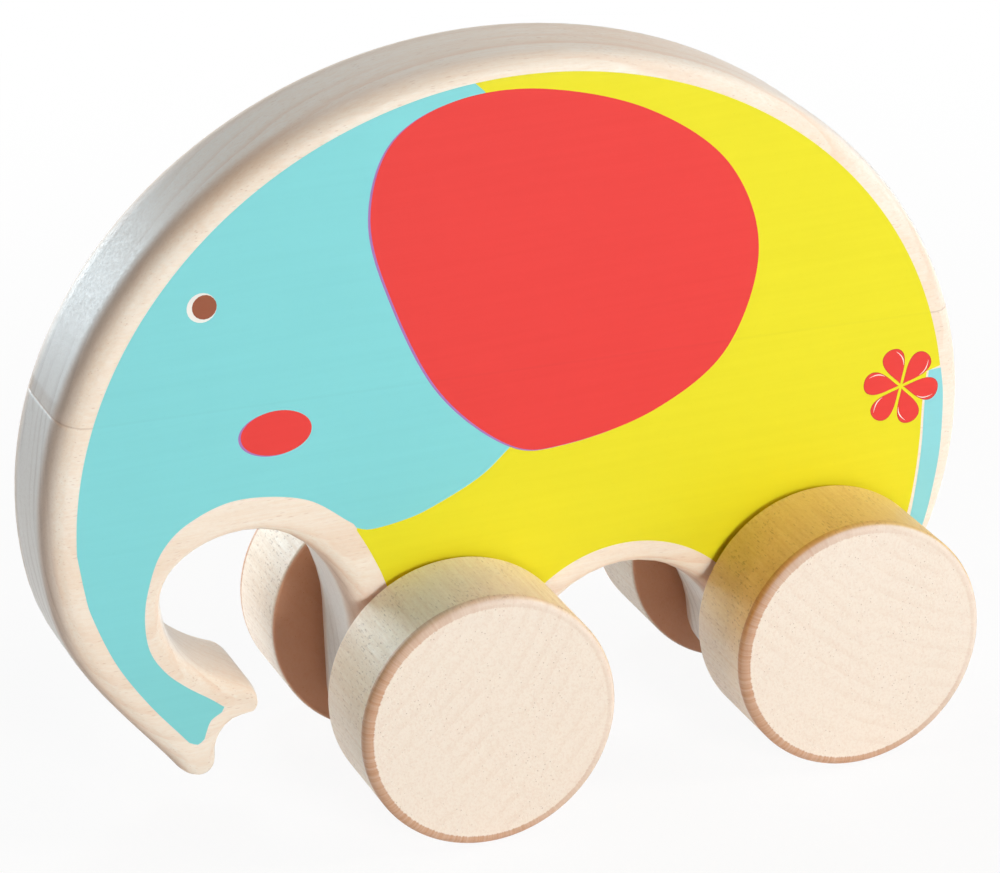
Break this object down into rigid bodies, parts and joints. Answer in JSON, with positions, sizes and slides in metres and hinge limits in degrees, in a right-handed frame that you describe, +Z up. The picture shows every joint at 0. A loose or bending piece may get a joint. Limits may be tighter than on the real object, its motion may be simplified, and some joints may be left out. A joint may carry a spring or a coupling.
{
  "type": "push along toy",
  "caption": "Wooden push-along elephant: a thick rounded plank body with painted sides, a curled trunk and arched legs, rolling on wooden wheels glued to plain dowel axles.",
  "frame": {"origin": "on the floor under the middle of the body, between the flat sides", "axes": "+X towards the tail, +Y towards the animal's right side, +Z up"},
  "size_m": [0.166, 0.066, 0.1295],
  "materials": {
    "body_wood": "fine sanded pale hardwood with a clear satin oil",
    "wheel_wood": "fine sanded pale hardwood, flecked, with darker burnished rims",
    "axle_wood": "plain hardwood dowel, unfinished",
    "paint_turquoise": "thin satin paint on wood",
    "paint_red": "thin satin paint on wood",
    "paint_yellow": "thin satin paint on wood",
    "paint_white": "thin satin paint on wood",
    "paint_brown": "thin satin paint on wood"
  },
  "bodies": {
    "body": {"body_upper_board": "body_wood", "body_lower_board": "body_wood"},
    "front_wheelset": {"front_axle": "axle_wood", "front_left_wheel": "wheel_wood", "front_right_wheel": "wheel_wood"},
    "rear_wheelset": {"rear_axle": "axle_wood", "rear_left_wheel": "wheel_wood", "rear_right_wheel": "wheel_wood"}
  },
  "joints": [
    {"name": "front_roll", "type": "hinge", "parent": "body", "child": "front_wheelset", "pos_m": [-0.015, 0, 0.0225], "axis": [0, 1, 0], "continuous": true},
    {"name": "rear_roll", "type": "hinge", "parent": "body", "child": "rear_wheelset", "pos_m": [0.053, 0, 0.0225], "axis": [0, 1, 0], "continuous": true}
  ]
}
